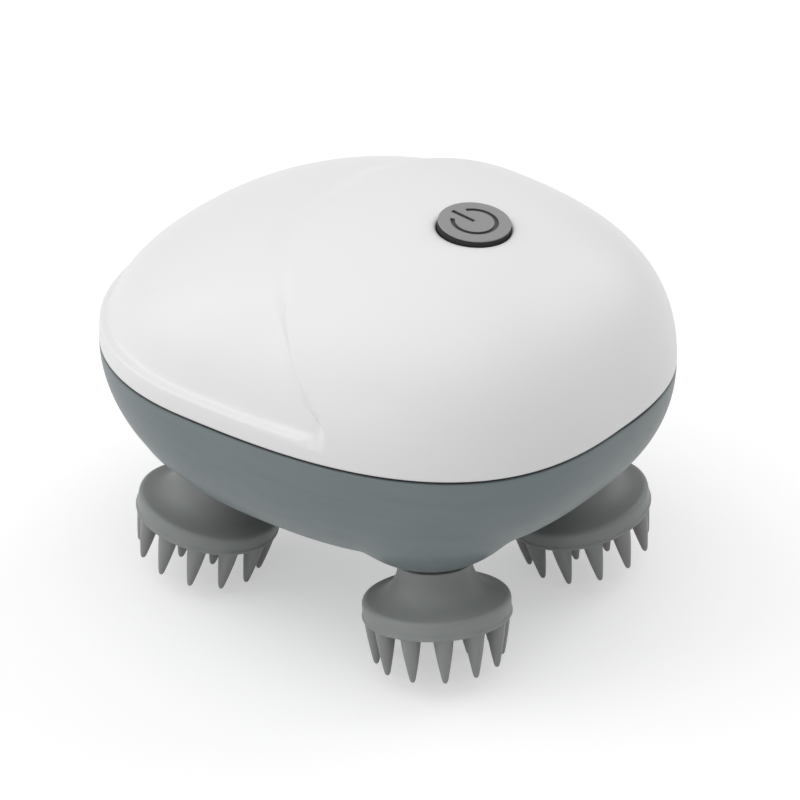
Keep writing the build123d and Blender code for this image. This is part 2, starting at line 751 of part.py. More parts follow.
def make_battery_cradle():
    low = gear_plate_top
    inner = cradle_wall + 0.1
    tray = Pos(0, cell_y, low + cradle_rise / 2) * Box(cell_width + 2 * inner, cell_thickness + 2 * inner, cradle_rise)
    space = Pos(0, cell_y, low + cradle_wall + cradle_rise / 2)
    tray -= space * Box(cell_width + 0.2, cell_thickness + 0.2, cradle_rise)
    tray -= rod(post_radius + 0.2, 0, seam_z + dome_height, 0, post_front_y)
    for x, y in cradle_screw_places:
        tray += Pos(x, y - 1.5, low + cradle_wall / 2) * Box(5, 6, cradle_wall)
    for x, y in cradle_screw_places:
        tray -= rod(small_screw_radius + 0.1, low, low + cradle_wall, x, y)
    return tray


def make_charge_socket():
    block = Pos(0, charge_face_y - charge_depth / 2, charge_z) * Box(charge_width, charge_depth, charge_height)
    block = fillet(block.edges().filter_by(Axis.Y), 0.6)
    for side in (-1, 1):
        block -= charge_pin(side, charge_pin_radius + seat)
    return block


def charge_pin(side, radius):
    place = Pos(side * charge_pitch / 2, charge_face_y - charge_depth / 2 - 0.3, charge_z)
    return place * Rot(90, 0, 0) * Cylinder(radius, charge_depth + 0.4)


# ---------------------------------------------------------------- fasteners
def make_housing_screws():
    body = screw(screw_radius - seat, screw_seat_depth + screw_grip, screw_head_radius, screw_head_height)
    return [Pos(x, y, seam_z - screw_seat_depth) * body for x, y in posts]


def make_gearbox_screws():
    body = Rot(180, 0, 0) * screw(small_screw_radius - seat, 7, small_head_radius, small_head_height)
    return [Pos(x, y, gear_plate_top) * body for x, y in plate_posts]


def make_pillar_screws():
    low = screw(small_screw_radius - seat, 5, small_head_radius, 0.8)
    high = Rot(180, 0, 0) * low
    pairs = []
    for x, y in pillar_places:
        pairs.append(Pos(x, y, gear_plate_z) * low)
        pairs.append(Pos(x, y, motor_z) * high)
    return pairs


def make_motor_screws():
    body = screw(small_screw_radius - seat, 3.5, 1.5, 0.7)
    return [Pos(side * motor_screw_reach, motor_y, motor_plate_z) * body for side in (-1, 1)]


def make_cradle_screws():
    body = Rot(180, 0, 0) * screw(small_screw_radius - seat, 2.8, small_head_radius, 0.8)
    return [Pos(x, y, gear_plate_top + cradle_wall) * body for x, y in cradle_screw_places]


def make_board_screws():
    body = screw(small_screw_radius - seat, 5, small_head_radius, small_head_height)
    return [Pos(x, board_y + y, board_z) * body
            for x in (-board_screw_x, board_screw_x) for y in (-board_screw_y, board_screw_y)]


# ---------------------------------------------------------------- assembly
def build():
    nodes = {
        "top_cover": make_top_cover(),
        "bottom_housing": make_bottom_housing(),
        "seam_gasket": make_seam_gasket(),
        "power_button": make_power_button(),
        "switch_stem": make_switch_stem(),
        "button_seal": make_button_seal(),
        "tact_switch": make_tact_switch(),
        "main_pcb": make_main_pcb(),
        "pcb_chips": make_pcb_chips(),
        "battery_cell": make_battery_cell(),
        "battery_cradle": make_battery_cradle(),
        "charge_socket": make_charge_socket(),
        "charge_pins": [charge_pin(side, charge_pin_radius) for side in (-1, 1)],
        "gear_plate": make_gear_plate(),
        "motor_plate": make_motor_plate(),
        "plate_pillars": make_plate_pillars(),
        "idler_pins": make_idler_pins(),
        "sun_bush": make_sun_bush(),
        "sun_shaft": make_sun_shaft(),
        "sun_gear": make_sun_gear(),
        "sun_wheel": make_sun_wheel(),
        "compound_gear_1": make_compound_gear_1(),
        "compound_gear_2": make_compound_gear_2(),
        "motor_pinion": make_motor_pinion(),
        "motor_shaft": make_motor_shaft(),
        "motor_can": make_motor_can(),
        "motor_endcap": make_motor_endcap(),
        "housing_screws": make_housing_screws(),
        "gearbox_screws": make_gearbox_screws(),
        "pillar_screws": make_pillar_screws(),
        "motor_screws": make_motor_screws(),
        "board_screws": make_board_screws(),
        "cradle_screws": make_cradle_screws(),
    }
    places = {name: head_axis(*signs) for name, signs in corners.items()}
    grouped = {"lower_bushes": make_lower_bush(), "upper_bushes": make_upper_bush(), "shaft_seals": make_shaft_seal()}
    for name, piece in grouped.items():
        nodes[name] = [place * piece for place in places.values()]
    head = make_massage_head()
    core = make_head_core()
    shaft = make_drive_shaft()
    for name, place in places.items():
        nodes["massage_head_" + name] = place * Rot(0, 0, -corners[name][0] * claw_turn) * head
        nodes["head_core_" + name] = place * core
        nodes["drive_shaft_" + name] = place * shaft
        nodes["planet_gear_" + name] = place * make_planet_gear(planet_turn(*corners[name]))
    return nodes


os.makedirs("parts", exist_ok=True)
for node, shape in build().items():
    if isinstance(shape, list):
        shape = Compound(children=shape)
    export_step(shape, "parts/" + node + ".step")
    print(node, round(shape.volume, 1))
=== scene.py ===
# %% [markdown]
# # Dressing an electric scalp massager
#
# The massager is a palm-sized shell: a glossy white dome over a satin grey bowl, standing on
# four splayed silicone heads. The heads turn, so each one has to follow its own shaft.
# The mechanical model comes first and fixes every size and place. This lesson gives it a
# smooth skin, soft silicone and moulded plastic, and leaves all the mechanics where they are.

# %% Load the mechanical model
import json
import math

import bmesh
import bpy
import numpy as np
from mathutils import Matrix, Vector


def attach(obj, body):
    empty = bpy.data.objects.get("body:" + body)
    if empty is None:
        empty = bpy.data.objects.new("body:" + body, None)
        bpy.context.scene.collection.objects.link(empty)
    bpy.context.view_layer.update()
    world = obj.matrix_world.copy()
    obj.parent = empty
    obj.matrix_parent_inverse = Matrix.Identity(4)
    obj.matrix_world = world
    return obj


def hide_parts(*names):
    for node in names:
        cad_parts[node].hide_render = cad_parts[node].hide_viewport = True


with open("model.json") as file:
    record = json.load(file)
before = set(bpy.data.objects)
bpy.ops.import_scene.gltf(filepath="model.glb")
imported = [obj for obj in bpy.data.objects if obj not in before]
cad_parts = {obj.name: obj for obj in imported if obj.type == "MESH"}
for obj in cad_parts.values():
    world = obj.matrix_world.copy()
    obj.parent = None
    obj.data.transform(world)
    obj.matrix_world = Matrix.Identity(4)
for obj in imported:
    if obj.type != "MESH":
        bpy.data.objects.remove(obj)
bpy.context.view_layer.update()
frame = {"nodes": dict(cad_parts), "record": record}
MM = 0.001

# %% [markdown]
# ## The camera
#
# A long lens, 80 cm from the product and 30 degrees above it, is what a product photographer
# uses on a small object: the heads at the back stay nearly as large as the ones in front.
# The place of the camera is worked out from two angles and a distance about one aim point,
# so that a change of angle keeps the product in the picture.

# %% Place the camera
AIM = Vector((0, -5.33, 46.9)) * MM
AZIMUTH, ELEVATION, DISTANCE = -52.26, 30.42, 0.8
PICTURE = 800  # pixels across
AIM_ACROSS, AIM_DOWN = 409.2, 366.2  # pixels from the left and from the top
PIXELS_PER_MM = 5.141  # at the aim point
SENSOR = 36


def add_object(name, data):
    """New object, linked to the scene."""
    made = bpy.data.objects.new(name, data)
    bpy.context.scene.collection.objects.link(made)
    return made


turn, lift = math.radians(AZIMUTH), math.radians(ELEVATION)
away = Vector((math.sin(turn) * math.cos(lift), -math.cos(turn) * math.cos(lift), math.sin(lift)))
lens_data = bpy.data.cameras.new("product_camera")
lens_data.sensor_width = SENSOR
lens_data.lens = SENSOR * PIXELS_PER_MM / PICTURE * DISTANCE / MM
lens_data.shift_x = (PICTURE / 2 - AIM_ACROSS) / PICTURE
lens_data.shift_y = (AIM_DOWN - PICTURE / 2) / PICTURE
lens_data.clip_start = 0.05
camera = add_object("product_camera", lens_data)
camera.location = AIM + away * DISTANCE
camera.rotation_euler = (-away).to_track_quat("-Z", "Y").to_euler()
bpy.context.scene.camera = camera
print("lens:", round(lens_data.lens, 1), "mm")

# %% [markdown]
# ## Moulded plastic, silicone and metal
#
# Every finish is one Principled shader. What makes it look real is small: a little unevenness
# in the roughness, a fine bump at the scale of the mould's texture, and a slight drift in the
# colour. Each pattern reads Object coordinates, so it is as fine on a gear as on the shell.


# %% A helper for a finish
CLOUD, PATCH = 14, 3.5  # millimetres across: drift of the colour, drift of the gloss


def finish(name, colour, roughness, grain=0.0, grain_size=0.4, drift=0.03, spread=0.06,
           layers=1.0, **shader_values):
    """Principled material with noise in its colour, roughness and bump. Sizes are in millimetres.
    More layers flatten the clouds of colour into level streaks."""
    made = bpy.data.materials.new(name)
    made.use_nodes = True
    nodes, links = made.node_tree.nodes, made.node_tree.links
    shader = nodes["Principled BSDF"]
    for socket, value in shader_values.items():
        shader.inputs[socket.replace("_", " ")].default_value = value
    place = nodes.new("ShaderNodeTexCoord")

    def noise(size, detail, flat=1.0):
        node = nodes.new("ShaderNodeTexNoise")
        node.inputs["Scale"].default_value = 1 / (size * MM)
        node.inputs["Detail"].default_value = detail
        stretch = nodes.new("ShaderNodeMapping")
        stretch.inputs["Scale"].default_value = (1, 1, flat)
        links.new(place.outputs["Object"], stretch.inputs["Vector"])
        links.new(stretch.outputs["Vector"], node.inputs["Vector"])
        return node

    clouds = noise(CLOUD, 3, layers)
    tint = nodes.new("ShaderNodeMix")
    tint.data_type = "RGBA"
    tint.inputs["A"].default_value = [max(0, part * (1 - drift)) for part in colour] + [1]
    tint.inputs["B"].default_value = [min(1, part * (1 + drift)) for part in colour] + [1]
    links.new(clouds.outputs["Fac"], tint.inputs["Factor"])
    links.new(tint.outputs["Result"], shader.inputs["Base Color"])
    gloss = nodes.new("ShaderNodeMapRange")
    gloss.inputs["To Min"].default_value = max(0.02, roughness - spread)
    gloss.inputs["To Max"].default_value = min(1, roughness + spread)
    links.new(noise(PATCH, 4).outputs["Fac"], gloss.inputs["Value"])
    links.new(gloss.outputs["Result"], shader.inputs["Roughness"])
    if grain:
        bump = nodes.new("ShaderNodeBump")
        bump.inputs["Strength"].default_value = grain
        bump.inputs["Distance"].default_value = 0.1 * MM
        links.new(noise(grain_size, 2).outputs["Fac"], bump.inputs["Height"])
        links.new(bump.outputs["Normal"], shader.inputs["Normal"])
    return made


def dress(piece, material, *slots):
    """One material on a piece; the slots argument is not used."""
    piece.data.materials.clear()
    piece.data.materials.append(material)
    return piece


# %% The finishes
shell_white = finish("shell_white", (0.86, 0.86, 0.865), 0.42, spread=0.02, drift=0.004,
                     Coat_Weight=0.12, Coat_Roughness=0.3, Specular_IOR_Level=0.35)
bowl_grey = finish("bowl_grey", (0.172, 0.206, 0.212), 0.42, grain=0.12, grain_size=0.5,
                   drift=0.09, layers=9)
silicone = finish("silicone", (0.25, 0.264, 0.26), 0.5, grain=0.08, grain_size=0.35, drift=0.03,
                  Sheen_Weight=0.15, Sheen_Roughness=0.4, Subsurface_Weight=0.05)
cap_grey = finish("cap_grey", (0.3, 0.3, 0.3), 0.45, grain=0.15, grain_size=0.25, drift=0.02)
groove_grey = finish("groove_grey", (0.11, 0.11, 0.11), 0.55, grain=0.1, grain_size=0.25)
# Near-black rubber for the gasket and seals; on the button cap's side wall the same finish is
# painted shade.
rubber_and_painted_shade = finish("rubber_and_painted_shade", (0.02, 0.02, 0.022), 0.7, grain=0.1)
acetal = finish("acetal", (0.8, 0.79, 0.73), 0.38, grain=0.05, drift=0.02)
nylon_dark = finish("nylon_dark", (0.05, 0.052, 0.056), 0.5, grain=0.25, grain_size=0.3)
turned_steel = finish("turned_steel", (0.6, 0.6, 0.62), 0.25, grain=0.05, Metallic=1.0)
plated_steel = finish("plated_steel", (0.55, 0.56, 0.58), 0.35, grain=0.08, Metallic=1.0)
sintered_bronze = finish("sintered_bronze", (0.6, 0.4, 0.2), 0.45, grain=0.3, grain_size=0.2,
                         Metallic=1.0)
gilt = finish("gilt", (0.83, 0.62, 0.25), 0.22, grain=0.03, Metallic=1.0)
board_mask = finish("board_mask", (0.02, 0.16, 0.07), 0.3, grain=0.1, grain_size=0.8)
cell_film = finish("cell_film", (0.06, 0.14, 0.42), 0.3, grain=0.1, grain_size=2.0)
print("finishes:", len(bpy.data.materials))

# %% [markdown]
# ## The body's outline
#
# Seen from above, the body is an egg: two halves of a superellipse, one fuller than the other.
# All the body's surfaces are this one outline, shrunk towards the crown or the floor by a second
# superellipse. Keeping the formula in one place means that the dome, the bowl and the seam meet
# exactly.

# %% The outline and its shrinking
SEAM, LEDGE = 51.3, 4.5
HALF_WIDTH, NOSE, TAIL, WIDEST = 47.3, 55.9, 55.8, 11.5
FRONT_POWER, REAR_POWER = 2.65, 2.25
POINTS = 480  # columns of the mesh


def outline(angle, inset=0.0):
    """Plan of the body at the seam, as x and y for each angle from the nose."""
    front = np.cos(angle) > 0
    reach = np.where(front, NOSE + WIDEST, TAIL - WIDEST) - inset
    power = np.where(front, FRONT_POWER, REAR_POWER)
    across = np.abs(np.sin(angle)) / (HALF_WIDTH - inset)
    along = np.abs(np.cos(angle)) / reach
    radius = (across ** power + along ** power) ** (-1 / power)
    return radius * np.sin(angle), WIDEST - radius * np.cos(angle)


def shrink(rise, height, power):
    """How far the outline has shrunk at a rise above the seam."""
    return (1 - np.clip(rise / height, 0, 1) ** power) ** (1 / power)


def soft_step(value, width):
    """0 below, 1 above, and smooth over a width between."""
    share = np.clip(value / width + 0.5, 0, 1)
    return share * share * (3 - 2 * share)


def smooth_between(share):
    """0 below 0, 1 above 1, and smooth between."""
    return soft_step(np.asarray(share) - 0.5, 1.0)


print("outline:", [round(float(v), 1) for v in outline(np.array([0.0, math.pi / 2, math.pi]))[1]])

# %% [markdown]
# The columns of the mesh start from that outline. They stand closer together near the two places
# where the ledge of the dome ends, because a small rounded end needs more points than a plain wall.

# %% Angles of the columns
LEDGE_END = math.radians(56.3)
CROWDING, CROWD_REACH = 1.6, 0.12
fine = np.linspace(-math.pi, math.pi, 20001)
crowd = 1 + CROWDING * np.exp(-((np.abs(fine) - LEDGE_END) / CROWD_REACH) ** 2)
running_total = np.concatenate([[0], np.cumsum((crowd[1:] + crowd[:-1]) / 2)])
angles = np.interp(np.arange(POINTS) / POINTS, running_total / running_total[-1], fine)
gaps = np.hypot(*np.diff(np.array(outline(angles))))
print("columns:", POINTS, "spacing", round(float(gaps.min()), 2), "to",
      round(float(gaps.max()), 2), "mm")

# %% [markdown]
# ## The dome
#
# The dome is really two domes. A full one covers the nose. Behind an arched crease a second,
# slightly smaller one takes over, and the step between them runs down to a ledge above the seam.
# Such a form can be cut with booleans and then bevelled, but the bevel breaks up where the step
# fades out. Here one ring of vertices is extruded upwards row by row instead, and each new row is
# moved to its place on the two domes, mixed by how far inside the arch it lies. The rows bend so
# that one of them always runs along the crease, and the last one lies round the button.

# %% The two domes
WALL = 2.0
FULL = dict(inset=0.0, height=31.9, power=2.3, crown=-16.0)
STEPPED = dict(inset=2.0, height=30.6, power=2.2, crown=-30.0)
HUB = np.array((0.0, -8.0, SEAM - 10))
FARTHEST, HALVINGS = 90.0, 30


def inside_of(form):
    """The same dome, one wall farther in."""
    return dict(form, inset=form["inset"] + WALL, height=form["height"] - WALL)


FULL_INSIDE, STEPPED_INSIDE = inside_of(FULL), inside_of(STEPPED)
print("domes rise", FULL["height"], "and", STEPPED["height"], "mm above the seam")


def on_dome(angle, rise, form):
    """One level row of a dome."""
    size = shrink(rise, form["height"], form["power"])
    x, y = outline(angle, form["inset"])
    return np.stack([x * size, y * size + form["crown"] * (1 - size), SEAM + rise + 0 * x], -1)


def under(points, form):
    """Which points lie under a dome."""
    rise = points[..., 2] - SEAM
    size = np.maximum(shrink(rise, form["height"], form["power"]), 0.0001)
    u, v = points[..., 0] / size, (points[..., 1] - form["crown"] * (1 - size)) / size
    x, y = outline(np.arctan2(u, WIDEST - v), form["inset"])
    return (u ** 2 + (v - WIDEST) ** 2 < x ** 2 + (y - WIDEST) ** 2) & (rise < form["height"])


def cast(ray, form):
    """Where rays from the hub meet a dome, found by halving."""
    near, far = np.zeros(ray.shape[:-1]), np.full(ray.shape[:-1], FARTHEST)
    for _ in range(HALVINGS):
        middle = (near + far) / 2
        inside = under(HUB + ray * middle[..., None], form)
        near, far = np.where(inside, middle, near), np.where(inside, far, middle)
    return HUB + ray * near[..., None]


def facing(points, form):
    """Unit normals of a dome at points that lie on it."""
    rise = np.clip(points[..., 2] - SEAM, 0.02, form["height"] - 0.05)
    size = shrink(rise, form["height"], form["power"])
    u, v = points[..., 0] / size, (points[..., 1] - form["crown"] * (1 - size)) / size
    angle = np.arctan2(u, WIDEST - v)
    across = on_dome(angle + 0.001, rise, form) - on_dome(angle - 0.001, rise, form)
    upward = on_dome(angle, rise + 0.01, form) - on_dome(angle, rise - 0.01, form)
    normal = np.cross(across, upward)
    return normal / np.linalg.norm(normal, axis=-1, keepdims=True)


# %% [markdown]
# Where the step runs is one question and how it looks is another. The first is answered by
# distances measured in the dome's own surface: how far a point lies above the ledge, and how far
# behind the arch. The smaller of the two, rounded at the corner where they meet, is how deep the
# point lies in the stepped part. The second is a profile over that depth: almost a flat shelf at
# the ledge, and a slope at the crease, short low down and long over the top, where it fades out.
# All the numbers below are millimetres, unless their comment says otherwise.

# %% Place and profile of the step
ARCH_Y, ARCH_SIDE, ARCH_NOSE = -30, 49.3, 38.3  # the ellipse: its middle and its two radii
SHOULDER, SHOULDER_X, SHOULDER_REACH = 1.5, 15, 8
FOOT, FOOT_REACH = 3.2, 7.5
CORNER = 4.0
NARROW, BROAD, BROAD_RISE, BROAD_REACH = 1.4, 2.4, 7, 2.5  # width of the slope low down
UPPER_WIDTH, UPPER_SHIFT = 12.0, 4.5  # what the slope gains over the top
UPPER_START, UPPER_SPAN = 58, 44  # degrees round the arch from its crown
SLOPE_END, SLOPE_FADE = 14, 10
TAIL_START, TAIL_SPAN, TAIL_FADE = 1.9, 0.9, 6  # radians, radians, millimetres
SHELF = ((-0.5, 0.0), (-0.28, 0.03), (-0.13, 0.1), (-0.04, 0.2), (-0.01, 0.33), (0.0, 0.5),
         (0.01, 0.66), (0.06, 0.79), (0.2, 0.89), (0.45, 0.96), (0.8, 0.99), (1.5, 1.0))


def behind_arch(points, form):
    """How far points of a dome lie behind the arch. The arch is an ellipse with squarer shoulders,
    and its feet reach a little towards the nose."""
    x, y = points[..., 0], points[..., 1] - ARCH_Y
    reach = np.hypot(x / ARCH_SIDE, y / ARCH_NOSE)
    outward = np.stack([x / ARCH_SIDE ** 2, y / ARCH_NOSE ** 2, 0 * x], -1) / reach[..., None]
    steepness = np.linalg.norm(outward, axis=-1)
    shoulder = SHOULDER * np.exp(-((np.abs(x) - SHOULDER_X) / SHOULDER_REACH) ** 2)
    lean = (outward * facing(points, form)).sum(-1) / steepness
    above = np.clip(points[..., 2] - SEAM - LEDGE, 0, None)
    foot = FOOT * np.exp(-(above / FOOT_REACH) ** 2)
    return ((reach - 1) / steepness - shoulder + foot) / np.sqrt(np.clip(1 - lean ** 2, 0.06, 1))


def step_share(points, form):
    """0 on the full dome, 1 on the stepped one."""
    behind, above = behind_arch(points, form), points[..., 2] - SEAM - LEDGE
    to_ledge, to_arch = np.clip(CORNER - above, 0, None), np.clip(CORNER - behind, 0, None)
    to_corner = np.hypot(to_ledge, to_arch)
    depth = CORNER - to_corner
    by_ledge = to_ledge > 0
    shelf = np.interp(depth, *zip(*SHELF))
    across, along = np.abs(points[..., 0]) / ARCH_SIDE, (points[..., 1] - ARCH_Y) / ARCH_NOSE
    around = np.degrees(np.arctan2(across, along))
    upper = smooth_between((UPPER_START - around) / UPPER_SPAN)
    broader = BROAD * np.exp(-((above - BROAD_RISE) / BROAD_REACH) ** 2)
    width = NARROW + broader + UPPER_WIDTH * upper
    slope = soft_step(np.where(by_ledge, depth, behind) - UPPER_SHIFT * upper, width)
    near_end = smooth_between((SLOPE_END - behind) / SLOPE_FADE)
    share = shelf + np.where(by_ledge, near_end, 1) * (slope - shelf)
    off_nose = np.abs(np.arctan2(points[..., 0], WIDEST - points[..., 1]))
    tail = smooth_between((off_nose - TAIL_START) / TAIL_SPAN)
    return share * (1 - 0.5 * tail * np.exp(-np.clip(above, 0, None) / TAIL_FADE))


def mixed(stepped, full, form):
    """Points between the two domes, by how deep each lies in the step."""
    return full + step_share(full, form)[..., None] * (stepped - full)


print("step:", NARROW, "mm wide low down,", NARROW + UPPER_WIDTH, "mm over the top")

# %% [markdown]
# The button stands in a bore that leans as the crown does, with a thin collar round it inside the
# dome. The bore could be cut out later, but then the rows round it would be torn. Here the last
# rows of the dome are rings about the button's axis, so the hole is there from the start.

# %% The button's place
BUTTON = Vector((0, -20.8, 83.17))
LEAN = math.radians(5.7)
button_up = Vector((0, -math.sin(LEAN), math.cos(LEAN)))
button_back = Vector((0, math.cos(LEAN), math.sin(LEAN)))
BORE, COLLAR, COLLAR_DEPTH = 7.2, 1.6, 5.0


def button_ring(radius, rise):
    """Circle about the button's axis, with one point for each column."""
    across, along = radius * np.sin(angles), -radius * np.cos(angles)
    ring = across[:, None] * np.array((1.0, 0.0, 0.0)) + along[:, None] * np.array(button_back)
    return ring + np.array(BUTTON + button_up * rise)


print("button seat at", [round(v, 2) for v in BUTTON])

# %% [markdown]
# The first rows are level. They round the edge at the seam, climb the plain band under the ledge,
# and then lie close together across the shelf, where the form turns most. Past the ledge's end
# there is no shelf to follow, so there they spread out evenly.

# %% Rows from the seam up to the ledge
PARTING = 0.25  # half the gap that the gasket fills
END_RADIUS = 50  # from the middle of the outline to the ledge's end
SHELF_TOP = LEDGE + SHELF[-1][0]


def seam_rows(*steps):
    """Copies of the outline at a few insets and heights above the seam."""
    made = []
    for inset, rise in steps:
        x, y = outline(angles, inset)
        made.append(np.stack([x, y, SEAM + rise + 0 * x], -1))
    return made


dome_rows = seam_rows((0.35, PARTING), (0.12, 0.32), (0.0, 0.5))
for rise in (0.9, 1.5, 2.1, 2.7, 3.3):
    dome_rows.append(on_dome(angles, rise, FULL))
from_end = (np.abs(angles) - LEDGE_END) * END_RADIUS
lifted = CORNER - np.sqrt(CORNER ** 2 - np.clip(CORNER - from_end, 0, 0.9 * CORNER) ** 2)
no_ledge = smooth_between(-from_end / 12)
for step, (rise, _) in enumerate(SHELF):
    even = LEDGE - 0.5 + 2.0 * step / (len(SHELF) - 1)
    rise = (LEDGE + rise + lifted) * (1 - no_ledge) + even * no_ledge
    dome_rows.append(mixed(on_dome(angles, rise, STEPPED), on_dome(angles, rise, FULL), FULL))
base = dome_rows[-1]
lip = button_ring(BORE + 0.9, 0)
print("rows up to the ledge:", len(dome_rows))


# %% [markdown]
# From the ledge each column climbs to the button along its own fan of rays from a hub low inside
# the body. The share of the climb at which a column meets the crease is measured first. Half of
# its rows go below that place and half above it, and they stand closest together there. A column
# on the nose meets no crease, so it borrows a place halfway up.


# %% Rows from the ledge to the button
def climb(share):
    """Rays from the hub through points part of the way from the ledge to the button."""
    ray = base + (lip - base) * share[:, None] - HUB
    return ray / np.linalg.norm(ray, axis=-1, keepdims=True)


LEAST, HALFWAY = 0.04, 0.5
steps = np.linspace(0, 1, 121)
behind = np.array([behind_arch(cast(climb(np.full(POINTS, step)), FULL), FULL) > 0
                   for step in steps])
crease = behind.sum(axis=0) / len(steps)
off_crease = smooth_between((LEDGE_END - np.abs(angles)) / math.radians(45))
crease = np.maximum(crease, LEAST) + (HALFWAY - LEAST) * off_crease * (crease < LEAST)
for _ in range(3):
    crease = (np.roll(crease, 1) + 2 * crease + np.roll(crease, -1)) / 4


def shares(count, pull=2.4):
    """Shares of each column's climb, crowded at its crease."""
    spread = np.sinh(pull * np.linspace(0, 1, count + 1)) / math.sinh(pull)
    below = [crease * (1 - gap) for gap in spread[:0:-1]]
    above = [crease + (1 - crease) * gap for gap in spread]
    return below[1:] + above


for share in shares(46):
    ray = climb(share)
    dome_rows.append(mixed(cast(ray, STEPPED), cast(ray, FULL), FULL))
lip_rise = (dome_rows[-1] - np.array(BUTTON)) @ np.array(button_up)
bore_edge = ((BORE + 0.45, 0.03), (BORE + 0.18, 0.14), (BORE, 0.4), (BORE, 1.6),
             (BORE, COLLAR_DEPTH))
for radius, drop in bore_edge:
    keep = (lip_rise if drop < 1 else 0 * lip_rise)[:, None]
    dome_rows.append(button_ring(radius, -drop) + keep * np.array(button_up))
print("rows of the skin:", len(dome_rows))


# %% [markdown]
# A shell needs a wall as well as a skin, or it looks like paper at the seam. The same rings go
# back down inside at 2 mm from the skin, past a rebate for the bowl's tongue, and the last one is
# bridged to the first.


# %% Extrude rings into a closed wall
def skin_from_rings(rows, poles=False):
    """Extrude a ring of vertices row by row, moving each new row to its place.
    Then close it: with a face at each end for poles, or by joining the last ring to the first."""
    mesh = bmesh.new()
    start = bmesh.ops.create_circle(mesh, segments=POINTS, radius=1)["verts"]
    for vert, spot in zip(start, rows[0]):
        vert.co = Vector(spot) * MM
    first = edges = list({edge for vert in start for edge in vert.link_edges})
    ring = start
    for row in rows[1:]:
        grown = bmesh.ops.extrude_edge_only(mesh, edges=edges)["geom"]
        fresh = {}
        edges = [item for item in grown if isinstance(item, bmesh.types.BMEdge)]
        new_verts = {item for item in grown if isinstance(item, bmesh.types.BMVert)}
        for old, spot in zip(ring, row):
            for edge in old.link_edges:
                other = edge.other_vert(old)
                if other in new_verts:
                    fresh[old] = other
                    other.co = Vector(spot) * MM
        ring = [fresh[old] for old in ring]
    if poles:
        bmesh.ops.contextual_create(mesh, geom=first)
        bmesh.ops.contextual_create(mesh, geom=edges)
    else:
        bmesh.ops.bridge_loops(mesh, edges=first + edges)
    bmesh.ops.recalc_face_normals(mesh, faces=mesh.faces)
    return mesh


def as_data(name, mesh):
    """Mesh data from a bmesh, which is used up."""
    data = bpy.data.meshes.new(name)
    mesh.to_mesh(data)
    mesh.free()
    return data


def to_piece(name, mesh, body, smooth=True):
    """Turn a bmesh into an object that rides on a body."""
    data = as_data(name, mesh)
    piece = add_object(name, data)
    if smooth:
        data.shade_smooth()
    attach(piece, body)
    print(name, "faces:", len(data.polygons))
    return piece


# %% Build the dome
REBATE, REBATE_TOP = 1.35, 1.75
inner_rows = [button_ring(BORE + COLLAR, -COLLAR_DEPTH), button_ring(BORE + COLLAR, -2.4)]
lip = button_ring(BORE + COLLAR + 0.3, -2.2)
base = mixed(on_dome(angles, SHELF_TOP, STEPPED_INSIDE), on_dome(angles, SHELF_TOP, FULL_INSIDE),
             FULL_INSIDE)
for share in shares(14)[::-1]:
    ray = climb(share)
    inner_rows.append(mixed(cast(ray, STEPPED_INSIDE), cast(ray, FULL_INSIDE), FULL_INSIDE))
inner_rows += seam_rows((WALL, 1.9), (WALL, REBATE_TOP), (REBATE, REBATE_TOP), (REBATE, PARTING))
dome = to_piece("dome_skin", skin_from_rings(dome_rows + inner_rows), "housing")
dress(dome, shell_white, "gloss_white")
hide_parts("top_cover")

# %% [markdown]
# ## The bowl and its four lobes
#
# Below the seam the outline shrinks into a deep bowl. Over each head the bowl bulges into part
# of a ball, centred on that head's own leaning shaft and cut square just above the neck.
# Every point of the bowl is pushed outwards, along a line from one middle point, until it lies
# on whichever surface is farther out. A soft maximum rounds the valleys between the lobes.

# %% The leaning frames of the four heads
SPLAY = math.radians(11.7)
PATTERN_Y, HEAD_X, HEAD_Y = -1.46, 23.4, 28.8
CLAW_LENGTH, CLAW_RING, CLAW_TURN = 9.5, 12.15, math.radians(8)
LOWEST_TIP = CLAW_RING * math.cos(CLAW_TURN) + 0.45  # from the head's axis
DISC_Z = CLAW_LENGTH * math.cos(SPLAY) + LOWEST_TIP * math.sin(SPLAY)
corners = {"front_left": (-1, -1), "front_right": (1, -1),
           "rear_left": (-1, 1), "rear_right": (1, 1)}
head_frames = {}
for name, (side, end) in corners.items():
    out = Vector((side * HEAD_X, end * HEAD_Y, 0)).normalized()
    up = Vector((0, 0, 1)) * math.cos(SPLAY) - out * math.sin(SPLAY)
    inward = -out * math.cos(SPLAY) - Vector((0, 0, 1)) * math.sin(SPLAY)
    axes = Matrix((inward, up.cross(inward), up)).transposed().to_4x4()
    place = Vector((side * HEAD_X, PATTERN_Y + end * HEAD_Y, DISC_Z))
    head_frames[name] = Matrix.Translation(place) @ axes
print("head axes lean", round(math.degrees(SPLAY), 1), "degrees; disc height", round(DISC_Z, 2))


# %% Rows of the bowl, pushed out onto the lobes
def soft_max(a, b, blend):
    """The greater of two values, with a rounded change from one to the other."""
    overlap = np.clip(blend - np.abs(a - b), 0, None) / blend
    return np.maximum(a, b) + overlap ** 2 * blend / 4


MIDDLE = np.array((0.0, PATTERN_Y, 50.0))
BOSS_END, BALL, NECK = 11.3, 22.0, 7.2  # end of a lobe, the ball's radius, the neck's radius
VALLEY, CUT_EDGE = 0.8, 0.6  # how far the meetings are rounded
TONGUE, TONGUE_TOP = 1.5, 1.6
DEPTH, FLOOR_LEVEL, FLOOR_EDGE = 30.5, math.radians(70), 0.9
DOWN_POWER, ACROSS_POWER, ALONG_POWER = 2.1, 3.8, 2.4
BOWL_CROWN = -9.0


